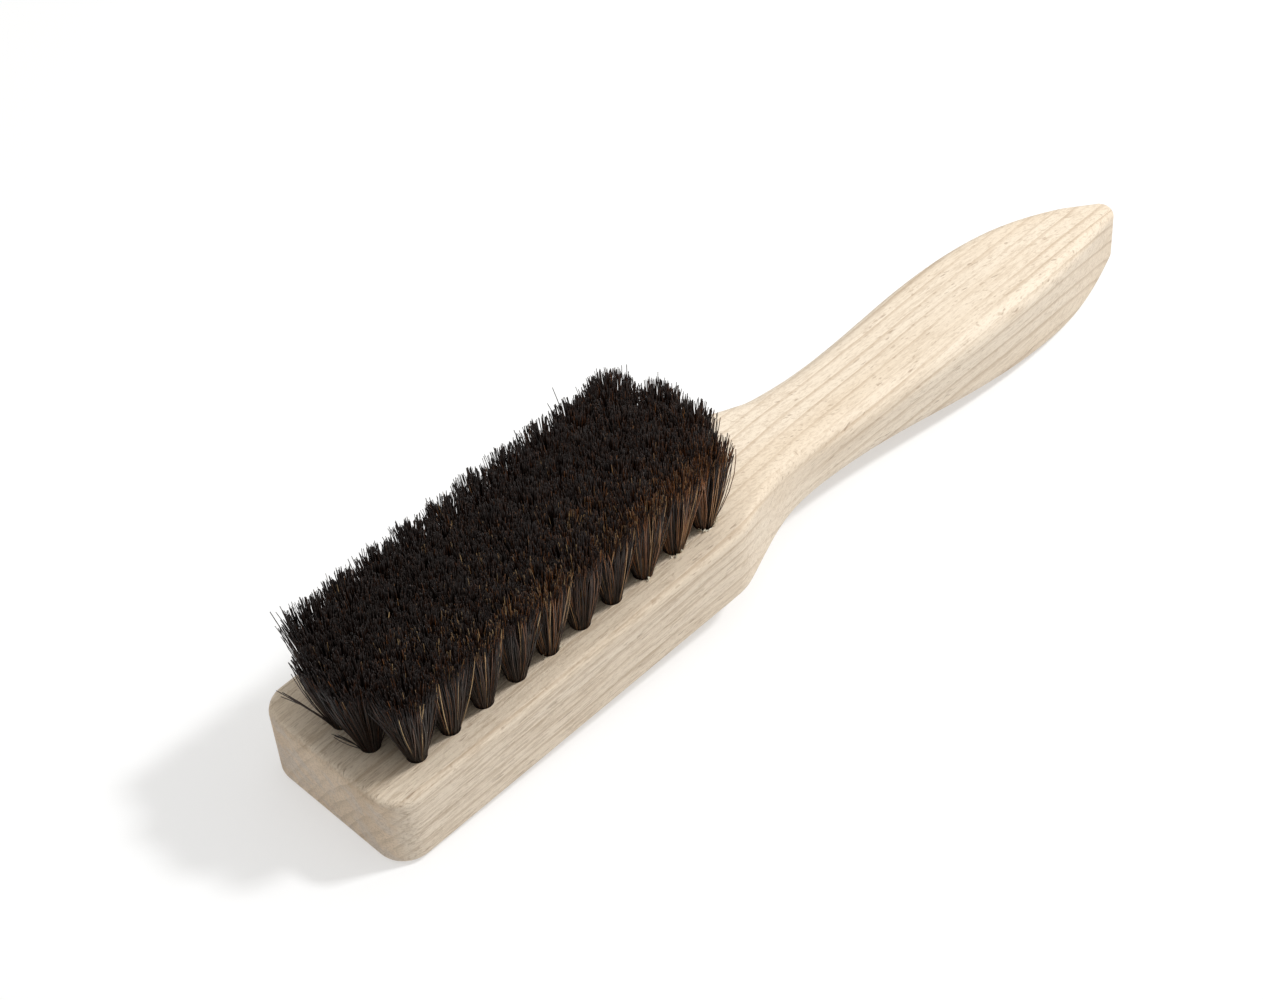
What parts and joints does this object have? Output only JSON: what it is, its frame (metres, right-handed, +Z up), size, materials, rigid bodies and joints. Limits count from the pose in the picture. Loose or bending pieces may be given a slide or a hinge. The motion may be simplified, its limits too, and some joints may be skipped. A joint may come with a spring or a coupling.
{
  "type": "neck duster brush",
  "caption": "Barber's neck duster: a one-piece raw beech block and drooping leaf-shaped handle, set with rows of dark horsehair tufts held by wire staples.",
  "frame": {"origin": "middle of the brush's footprint on the surface that it rests on, bristles up", "axes": "+X from the bristle head towards the handle's tip, +Z up; the flat back of the head is tilted 5.1 degrees about Y, because the drooping handle's end touches the surface too"},
  "size_m": [0.234, 0.0392, 0.0478],
  "materials": {
    "beech": "sanded, unfinished",
    "horsehair": "natural hair, slight sheen",
    "steel_wire": "drawn wire"
  },
  "bodies": {
    "root": {"brush_body": "beech", "staples": "steel_wire", "tuft_row_1_01": "horsehair", "tuft_row_1_02": "horsehair", "tuft_row_1_03": "horsehair", "tuft_row_1_04": "horsehair", "tuft_row_1_05": "horsehair", "tuft_row_1_06": "horsehair", "tuft_row_1_07": "horsehair", "tuft_row_1_08": "horsehair", "tuft_row_1_09": "horsehair", "tuft_row_1_10": "horsehair", "tuft_row_2_01": "horsehair", "tuft_row_2_02": "horsehair", "tuft_row_2_03": "horsehair", "tuft_row_2_04": "horsehair", "tuft_row_2_05": "horsehair", "tuft_row_2_06": "horsehair", "tuft_row_2_07": "horsehair", "tuft_row_2_08": "horsehair", "tuft_row_2_09": "horsehair", "tuft_row_2_10": "horsehair", "tuft_row_2_11": "horsehair", "tuft_row_3_01": "horsehair", "tuft_row_3_02": "horsehair", "tuft_row_3_03": "horsehair", "tuft_row_3_04": "horsehair", "tuft_row_3_05": "horsehair", "tuft_row_3_06": "horsehair", "tuft_row_3_07": "horsehair", "tuft_row_3_08": "horsehair", "tuft_row_3_09": "horsehair", "tuft_row_3_10": "horsehair", "tuft_row_3_11": "horsehair", "tuft_row_4_01": "horsehair", "tuft_row_4_02": "horsehair", "tuft_row_4_03": "horsehair", "tuft_row_4_04": "horsehair", "tuft_row_4_05": "horsehair", "tuft_row_4_06": "horsehair", "tuft_row_4_07": "horsehair", "tuft_row_4_08": "horsehair", "tuft_row_4_09": "horsehair", "tuft_row_4_10": "horsehair"}
  },
  "joints": []
}
